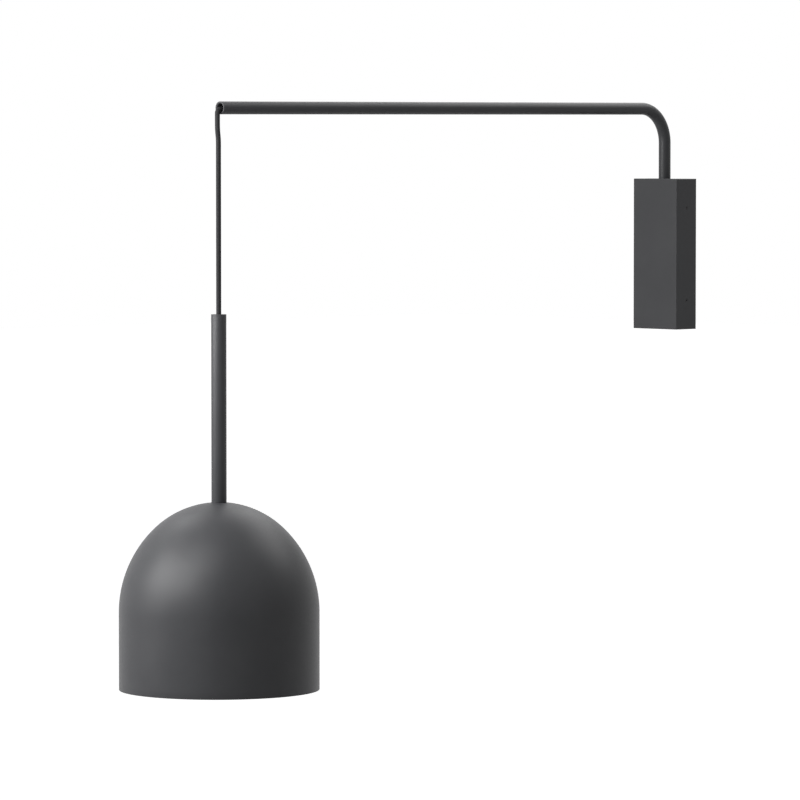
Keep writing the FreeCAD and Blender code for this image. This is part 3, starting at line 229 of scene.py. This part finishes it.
earth_stripes, tree, shader, place = start_finish("earth_stripes")
bands = tree.nodes.new("ShaderNodeTexWave")
bands.wave_type, bands.bands_direction = "BANDS", "DIAGONAL"
bands.inputs["Scale"].default_value = STRIPE_SCALE
bands.inputs["Distortion"].default_value = 0.4
tree.links.new(place, bands.inputs["Vector"])
vary_colour(tree, shader, bands.outputs["Fac"], (0.04, 0.3, 0.05), (0.75, 0.62, 0.03))
vary_roughness(tree, shader, add_noise(tree, place, 0.0008), 0.28, 0.4)
raise_surface(tree, shader, add_noise(tree, place, 0.0003), 0.000004)
finish_nodes(earth_stripes, "earth_core", "earth_lead")


# ---- arm ----
# One length of steel tube, 16 mm across, bent once at a mandrel and cut square at its open end.
# Powder coated in charcoal: a fine, even orange peel with a soft sheen.

ARM_RADIUS = 0.008
ARM_WALL = 0.0015
ARM_BEND = 0.046
ARM_EDGE = 0.00042
EDGE_STEPS = 3
SHARP_ANGLE = math.radians(50)
TUBE_SIDES = 72
BEND_STEPS = 40
DOUBLES_WITHIN = 0.00001
CHARCOAL_DARK = (0.0305, 0.031, 0.0335)
CHARCOAL_LIGHT = (0.0355, 0.036, 0.0385)


def coat_finish(name):
    """Powder coat: a broad faint cloud, and an orange peel over a much finer grit."""
    material, tree, shader, place = start_finish(name)
    vary_colour(tree, shader, add_noise(tree, place, 0.05, 3), CHARCOAL_DARK, CHARCOAL_LIGHT)
    vary_roughness(tree, shader, add_noise(tree, place, 0.003, 3), 0.42, 0.48)
    raise_surface(tree, shader, add_noise(tree, place, 0.0022, 1), 0.000003)
    raise_surface(tree, shader, add_noise(tree, place, 0.0005, 1), 0.000001)
    shader.inputs["Specular IOR Level"].default_value = 0.22
    return material


def add_ring(sides, radius, place):
    """A new circle, alone in the selection."""
    bpy.ops.object.select_all(action="DESELECT")
    bpy.ops.mesh.primitive_circle_add(vertices=sides, radius=radius, location=place)


def edit_new(name):
    """Name the new primitive and open it for editing."""
    piece = bpy.context.object
    piece.name = piece.data.name = name
    bpy.ops.object.mode_set(mode="EDIT")
    return piece


def extrude(x, y, z):
    """Extrude what is selected by that move."""
    bpy.ops.mesh.extrude_region_move(TRANSFORM_OT_translate={"value": (x, y, z)})


def face_outwards():
    """Select the whole piece and turn its faces outwards."""
    bpy.ops.mesh.select_all(action="SELECT")
    bpy.ops.mesh.normals_make_consistent(inside=False)


def close_piece(piece, smooth_angle=30):
    """Leave edit mode, bring the piece's place into its mesh and shade its round sides smooth."""
    bpy.ops.object.mode_set(mode="OBJECT")
    bpy.ops.object.transform_apply(location=True, rotation=True, scale=True)
    bpy.ops.object.shade_smooth_by_angle(angle=math.radians(smooth_angle))
    return piece


def use_modifier(piece, kind, **settings):
    """Add a modifier, set it and apply it."""
    modifier = piece.modifiers.new(kind.title(), kind)
    for key, value in settings.items():
        setattr(modifier, key, value)
    bpy.context.view_layer.objects.active = piece
    bpy.ops.object.modifier_apply(modifier=modifier.name)


def give_wall(piece, thickness, edge):
    """Thicken a shell inwards to its wall and break the edges at its ends."""
    use_modifier(piece, "SOLIDIFY", thickness=thickness, offset=-1)
    use_modifier(
        piece, "BEVEL", width=edge, segments=EDGE_STEPS, limit_method="ANGLE", angle_limit=SHARP_ANGLE
    )


def finish_piece(piece, material, slot, body, *replaced):
    """Give a new piece its finish and its body, and hide the CAD pieces that it replaces. The slot is
    not used.
    """
    piece.data.materials.clear()
    piece.data.materials.append(material)
    if body:
        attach(piece, body)
    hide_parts(*replaced)


tube_low, tube_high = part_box("arm_tube")
upright_y = tube_high.y - ARM_RADIUS
level_z = tube_high.z - ARM_RADIUS
bend_y = upright_y - ARM_BEND
bend_z = level_z - ARM_BEND

add_ring(TUBE_SIDES, ARM_RADIUS, (0, upright_y, tube_low.z))
arm = edit_new("arm_swing_tube")
extrude(0, 0, bend_z - tube_low.z)
bpy.ops.mesh.spin(
    steps=BEND_STEPS, angle=-math.pi / 2, axis=(1, 0, 0), center=(0, bend_y, bend_z)
)
extrude(0, tube_low.y - bend_y, 0)
bpy.ops.mesh.select_all(action="SELECT")
bpy.ops.mesh.remove_doubles(threshold=DOUBLES_WITHIN)
face_outwards()
close_piece(arm)
give_wall(arm, ARM_WALL, ARM_EDGE)
charcoal_coat = coat_finish("charcoal_coat")
finish_piece(arm, charcoal_coat, "charcoal_steel", "arm", "arm_tube")


# ---- box cover and its screws ----
# A five-sided cover folded from 1.5 mm sheet, its corners welded and ground, in the same coat.
# Four small countersunk socket screws with a black oxide hold it by its sides.

finish_nodes(charcoal_coat, "housing")

black_oxide, tree, shader, place = start_finish("black_oxide")
shader.inputs["Metallic"].default_value = 0.6
vary_colour(tree, shader, add_noise(tree, place, 0.002, 3), (0.012, 0.012, 0.013), (0.024, 0.024, 0.026))
vary_roughness(tree, shader, add_noise(tree, place, 0.0008), 0.34, 0.5)
raise_surface(tree, shader, add_noise(tree, place, 0.0003), 0.000006)
finish_nodes(black_oxide, "housing_screws")


# ---- cord ----
# One round three-core flex, 6.3 mm across, with a matt black sheath. It runs through the arm,
# leaves the open end, folds over the lip and hangs straight down into the stem.

CORD_DIAMETER = 0.0063
CORD_STEPS = 24
CORD_ROUNDNESS = 10
CORD_SMOOTH = 40
SAG_IN_MOUTH = 0.00195
JOINT_DROP = 0.046
LENGTHS_MEET = 0.149
INTO_STEM = 0.003
# The route over the lip: distance beyond the tube's mouth, height against the cord's line there.
FOLD_ROUTE = [
    (-0.022, 0.0), (-0.0071, 0.0001), (0.004, 0.0002), (0.004, -0.0112), (0.004, -0.0245),
    (0.0023, -0.037),
]


def sheath_finish():
    """Matt sheath: a faint cloud and shallow ripples drawn out along the cord."""
    material, tree, shader, place = start_finish("black_sheath")
    cloud = add_noise(tree, place, 0.01, 3, (1, 1, 4))
    vary_colour(tree, shader, cloud, (0.019, 0.019, 0.02), (0.025, 0.025, 0.026))
    vary_roughness(tree, shader, add_noise(tree, place, 0.002, 2, (1, 1, 6)), 0.62, 0.74)
    raise_surface(tree, shader, add_noise(tree, place, 0.0012, 2, (1, 1, 20)), 0.00001)
    raise_surface(tree, shader, add_noise(tree, place, 0.0003, 1), 0.000003)
    shader.inputs["Specular IOR Level"].default_value = 0.1
    return material


def spline_along(name, points):
    """A curve of one NURBS spline with those control points."""
    curve = bpy.data.curves.new(name, "CURVE")
    curve.dimensions = "3D"
    curve.resolution_u = CORD_STEPS
    spline = curve.splines.new("NURBS")
    spline.points.add(len(points) - 1)
    for point, place in zip(spline.points, points):
        point.co = (*place, 1)
    spline.order_u = 3
    spline.use_endpoint_u = True
    cord = bpy.data.objects.new(name, curve)
    bpy.context.scene.collection.objects.link(cord)
    return cord


def cord_piece(name, points):
    """A round cord along a route: the piece, the points of its line and their length."""
    cord = spline_along(name, points)
    line = bpy.data.meshes.new_from_object(cord)
    path = [vertex.co.copy() for vertex in line.vertices]
    bpy.data.meshes.remove(line)
    cord.data.bevel_depth = CORD_DIAMETER / 2
    cord.data.bevel_resolution = CORD_ROUNDNESS
    cord.data.use_fill_caps = True
    bpy.ops.object.select_all(action="DESELECT")
    cord.select_set(True)
    bpy.context.view_layer.objects.active = cord
    bpy.ops.object.convert(target="MESH")
    bpy.ops.object.shade_smooth_by_angle(angle=math.radians(CORD_SMOOTH))
    piece = bpy.context.object
    return piece, path, sum((b - a).length for a, b in zip(path, path[1:]))


black_sheath = sheath_finish()
finish_nodes(black_sheath, "box_cord", "arm_cord", "stem_cord")

mouth = Vector((0, tube_low.y, level_z - SAG_IN_MOUTH))
fold = [mouth + Vector((0, -out, up)) for out, up in FOLD_ROUTE]
hang_y = fold[-1].y
swing_joint = Vector((0, hang_y, mouth.z - JOINT_DROP))
meeting = Vector((0, hang_y, mouth.z - LENGTHS_MEET))
stem_low, stem_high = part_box("stem_tube")
stem_mouth = Vector((0, hang_y, stem_high.z))

upper_cord, path, length = cord_piece("cord_over_lip", [*fold, swing_joint, meeting])
finish_piece(upper_cord, black_sheath, "cord_sheath", None, "cord_fold")
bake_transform(upper_cord)

cord_end = stem_mouth - Vector((0, 0, INTO_STEM))
lower_cord, path, length = cord_piece("cord_to_stem", [meeting, (meeting + cord_end) / 2, cord_end])
finish_piece(lower_cord, black_sheath, "cord_sheath", None, "hanging_cord")
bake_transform(lower_cord)


# ---- stem ----
# A straight steel tube, 19 mm across, cut square at both ends and coated as the arm is.
# A threaded plug in its foot clamps the shade, and a bush in its top guides the cord.

STEM_RADIUS = 0.0095
STEM_WALL = 0.0015
STEM_EDGE = 0.0003

add_ring(TUBE_SIDES, STEM_RADIUS, (0, hang_y, stem_low.z))
stem = edit_new("pendant_stem")
extrude(0, 0, stem_high.z - stem_low.z)
face_outwards()
close_piece(stem)
give_wall(stem, STEM_WALL, STEM_EDGE)
finish_piece(stem, charcoal_coat, "charcoal_steel", "pendant", "stem_tube")


# ---- shade ----
# A dome on a straight skirt, spun from one disc of 1.2 mm aluminium, with a small flat seat for
# the stem. The rim is trimmed and its edge broken, and the coat covers it inside and out.

SHADE_RADIUS = 0.125
SHADE_WALL = 0.0012
CROWN_RADIUS = 0.116
CROWN_WIDTH = 0.160
SEAT_RADIUS = 0.012
STEM_HOLE = 0.0051
SHADE_SIDES = 256
CROWN_STEPS = 36
SHOULDER_STEPS = 40
SKIRT_STEPS = 10
RIM_EDGE = 0.0004

shade_low, shade_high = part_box("shade")
rim_z, seat_z = shade_low.z, shade_high.z
crown_z = seat_z - math.sqrt(CROWN_RADIUS**2 - SEAT_RADIUS**2)
join_angle = math.acos(CROWN_WIDTH / 2 / CROWN_RADIUS)
seat_angle = math.acos(SEAT_RADIUS / CROWN_RADIUS)
# The shoulder is as large as it must be to run on from the crown and meet the skirt upright.
shoulder_radius = (SHADE_RADIUS - CROWN_WIDTH / 2) / (1 - math.cos(join_angle))
skirt_top = crown_z + (CROWN_RADIUS - shoulder_radius) * math.sin(join_angle)

# Rings from the rim up to the stem's hole, each a (radius, height).
rings = [(SHADE_RADIUS, rim_z + (skirt_top - rim_z) * i / SKIRT_STEPS) for i in range(SKIRT_STEPS)]
for i in range(SHOULDER_STEPS):
    angle = join_angle * i / SHOULDER_STEPS
    across = SHADE_RADIUS - shoulder_radius + shoulder_radius * math.cos(angle)
    rings.append((across, skirt_top + shoulder_radius * math.sin(angle)))
for i in range(CROWN_STEPS + 1):
    angle = join_angle + (seat_angle - join_angle) * i / CROWN_STEPS
    rings.append((CROWN_RADIUS * math.cos(angle), crown_z + CROWN_RADIUS * math.sin(angle)))
rings.append((STEM_HOLE, seat_z))

add_ring(SHADE_SIDES, SHADE_RADIUS, (0, hang_y, rim_z))
shade = edit_new("shade_shell")
for (radius, height), (next_radius, next_height) in zip(rings, rings[1:]):
    extrude(0, 0, next_height - height)
    share = next_radius / radius
    if share < 1:
        bpy.ops.transform.resize(value=(share, share, 1), center_override=(0, hang_y, next_height))
face_outwards()
close_piece(shade)
give_wall(shade, SHADE_WALL, RIM_EDGE)
shade_coat = coat_finish("shade_coat")
finish_piece(shade, shade_coat, "charcoal_shade", "pendant", "shade")


# ---- lampholder ----
# A holder in black moulded plastic, screwed on the threaded tube under the shade: a cap, a body
# and an inner block. The brass sleeve in it takes the bulb's thread.

holder_plastic, tree, shader, place = start_finish("holder_plastic")
vary_colour(tree, shader, add_noise(tree, place, 0.01), (0.012, 0.012, 0.012), (0.019, 0.019, 0.019))
vary_roughness(tree, shader, add_noise(tree, place, 0.003), 0.22, 0.34)
raise_surface(tree, shader, add_noise(tree, place, 0.0012), 0.00001)
finish_nodes(holder_plastic, "holder_cap", "holder_body", "contact_block")


# ---- bulb ----
# A screw-in lamp: an opal globe in a white tapered collar, and a thin metal cap with a rolled
# round thread, whose centre contact sits in a ring of black insulation.

CAP_RADIUS = 0.0131
CAP_WALL = 0.0005
CAP_TOP_RADIUS = 0.0092
CAP_CONE = 0.003
CAP_SIDES = 96
CAP_SMOOTH = 40
THREAD_PITCH = 0.00362
THREAD_DEPTH = 0.0009
THREAD_STEP = 0.0003
THREAD_RUN_OUT = 0.0024

opal, tree, shader, place = start_finish("opal_globe")
vary_colour(tree, shader, add_noise(tree, place, 0.02, 2), (0.8, 0.79, 0.76), (0.86, 0.855, 0.83))
vary_roughness(tree, shader, add_noise(tree, place, 0.004), 0.16, 0.24)
raise_surface(tree, shader, add_noise(tree, place, 0.004), 0.000006)
shader.inputs["Subsurface Weight"].default_value = 0.4
shader.inputs["Subsurface Scale"].default_value = 0.004
shader.inputs["Subsurface Radius"].default_value = (1, 0.95, 0.9)
finish_nodes(opal, "bulb_globe")

collar_white, tree, shader, place = start_finish("collar_white")
vary_colour(tree, shader, add_noise(tree, place, 0.01, 2), (0.74, 0.74, 0.73), (0.8, 0.8, 0.79))
vary_roughness(tree, shader, add_noise(tree, place, 0.002), 0.32, 0.42)
raise_surface(tree, shader, add_noise(tree, place, 0.0006), 0.000008)
finish_nodes(collar_white, "bulb_collar")

lamp_cap, tree, shader, place = start_finish("lamp_cap")
shader.inputs["Metallic"].default_value = 1
vary_colour(tree, shader, add_noise(tree, place, 0.004, 3), (0.56, 0.56, 0.57), (0.68, 0.68, 0.68))
vary_roughness(tree, shader, add_noise(tree, place, 0.001, 3), 0.24, 0.38)
raise_surface(tree, shader, add_noise(tree, place, 0.0008), 0.000008)
finish_nodes(holder_plastic, "bulb_insulator")

cap_low, cap_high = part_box("bulb_cap")
cone_base = cap_high.z - CAP_CONE
thread_rings = round((cone_base - cap_low.z) / THREAD_STEP)
add_ring(CAP_SIDES, CAP_RADIUS, (0, hang_y, cap_low.z))
cap = edit_new("screw_cap")
for i in range(thread_rings):
    extrude(0, 0, (cone_base - cap_low.z) / thread_rings)
extrude(0, 0, CAP_CONE)
share = CAP_TOP_RADIUS / CAP_RADIUS
bpy.ops.transform.resize(value=(share, share, 1), center_override=(0, hang_y, cap_high.z))
face_outwards()
close_piece(cap, CAP_SMOOTH)
# The thread is rolled inwards and runs out before both ends of the round part.
for vertex in cap.data.vertices:
    x, y, z = vertex.co
    to_end = min(z - cap_low.z, cone_base - z)
    fade = min(max(to_end / THREAD_RUN_OUT, 0), 1)
    turn = (z - cap_low.z) / THREAD_PITCH - math.atan2(y - hang_y, x) / (2 * math.pi)
    depth = THREAD_DEPTH * fade * (0.5 - 0.5 * math.cos(2 * math.pi * turn))
    if to_end > 0:
        share = (CAP_RADIUS - depth) / CAP_RADIUS
        vertex.co = (x * share, hang_y + (y - hang_y) * share, z)
use_modifier(cap, "SOLIDIFY", thickness=CAP_WALL, offset=-1)
finish_piece(cap, lamp_cap, "bulb_cap_metal", "bulb", "bulb_cap")


# ---- studio ----
# A pale floor well below the light, a white surround, soft lamps close in front of the shade,
# high and low, and three broad lamps overhead.

FLOOR_DROP = 1.6
FLOOR_SIZE = 60
FLOOR_WHITE = (0.8, 0.8, 0.8, 1)
NEAR_FLOOR, FAR_FLOOR = 1.5, 5.0
NEAR_GLOW, FAR_GLOW = 0.4, 0.96
SOFT_LEVEL = 0.05


def seen_rays(tree):
    """1 for the rays that show a thing: straight to the camera, in a reflection or through glass."""
    rays = tree.nodes.new("ShaderNodeLightPath")
    seen = rays.outputs["Is Camera Ray"]
    for kind in ("Is Glossy Ray", "Is Transmission Ray"):
        larger = tree.nodes.new("ShaderNodeMath")
        larger.operation = "MAXIMUM"
        tree.links.new(seen, larger.inputs[0])
        tree.links.new(rays.outputs[kind], larger.inputs[1])
        seen = larger.outputs["Value"]
    return seen


bpy.ops.object.select_all(action="DESELECT")
bpy.ops.mesh.primitive_plane_add(size=FLOOR_SIZE, location=(0, 0, -FLOOR_DROP))
floor = bpy.context.object
floor.name = "studio_floor"
# The floor glows where it is seen, so that it reads as white: less under the light, where it keeps
# the shadow, and more far away, where no lamp reaches it.
floor_paint, tree, shader, place = start_finish("floor_paint")
shader.inputs["Base Color"].default_value = FLOOR_WHITE
shader.inputs["Roughness"].default_value = 0.9
shader.inputs["Emission Color"].default_value = (1, 1, 1, 1)
away = tree.nodes.new("ShaderNodeVectorMath")
away.operation = "LENGTH"
tree.links.new(place, away.inputs[0])
level = map_span(tree, away.outputs["Value"], (NEAR_FLOOR, FAR_FLOOR), (NEAR_GLOW, FAR_GLOW))
glow = tree.nodes.new("ShaderNodeMath")
glow.operation = "MULTIPLY"
tree.links.new(seen_rays(tree), glow.inputs[0])
tree.links.new(level, glow.inputs[1])
tree.links.new(glow.outputs["Value"], shader.inputs["Emission Strength"])
floor.data.materials.append(floor_paint)

world = bpy.data.worlds.new("white_surround")
bpy.context.scene.world = world
world.use_nodes = True
tree = world.node_tree
soft = tree.nodes["Background"]
soft.inputs["Color"].default_value = (1, 1, 1, 1)
soft.inputs["Strength"].default_value = SOFT_LEVEL
white = tree.nodes.new("ShaderNodeBackground")
white.inputs["Color"].default_value = (1, 1, 1, 1)
mix = tree.nodes.new("ShaderNodeMixShader")
tree.links.new(seen_rays(tree), mix.inputs["Fac"])
tree.links.new(soft.outputs["Background"], mix.inputs[1])
tree.links.new(white.outputs["Background"], mix.inputs[2])
tree.links.new(mix.outputs["Shader"], tree.nodes["World Output"].inputs["Surface"])


def soft_lamp(name, place, aim, size, watts):
    """A square lamp at a place, turned towards a point."""
    bpy.ops.object.light_add(type="AREA", location=place)
    lamp = bpy.context.object
    lamp.name = name
    lamp.data.size = size
    lamp.data.energy = watts
    lamp.rotation_euler = (Vector(aim) - Vector(place)).to_track_quat("-Z", "Y").to_euler()


SHADE_AIM = (0, -0.84, -0.33)
LIGHT_AIM = (0, -0.6, -0.2)
soft_lamp("key_lamp", (-0.44, -1.6, 0.14), SHADE_AIM, size=0.5, watts=9.8)
soft_lamp("front_lamp", (0, -1.9, 0.23), SHADE_AIM, size=0.6, watts=11.5)
soft_lamp("crown_lamp", (0.2, -1.58, 0.59), SHADE_AIM, size=0.6, watts=7)
soft_lamp("low_lamp", (-0.59, -1.87, -0.16), SHADE_AIM, size=0.6, watts=4.5)
soft_lamp("back_right_lamp", (0.96, 1.45, 2.06), LIGHT_AIM, size=1.8, watts=40)
soft_lamp("back_left_lamp", (-0.77, 1.53, 2.06), LIGHT_AIM, size=1.8, watts=30)
soft_lamp("left_lamp", (-2.06, -0.6, 2.25), LIGHT_AIM, size=1.2, watts=22)


# ---- camera ----
# Level with the arm, a long way off and 45 degrees to the arm's side. Angles are in degrees, the
# lens and the sensor in millimetres.

CAMERA_PLACE = (4.935, -5.459, 0.181)
CAMERA_HEADING = 45.0
CAMERA_DIP = 2.954
CAMERA_LENS = 244.915
CAMERA_SENSOR = 36
SEES_TO = 100

bpy.ops.object.camera_add(
    location=CAMERA_PLACE, rotation=(math.radians(90 - CAMERA_DIP), 0, math.radians(CAMERA_HEADING))
)
camera = bpy.context.object
camera.data.lens = CAMERA_LENS
camera.data.sensor_width = CAMERA_SENSOR
camera.data.clip_end = SEES_TO
bpy.context.scene.camera = camera
bpy.context.scene.view_settings.view_transform = "Standard"
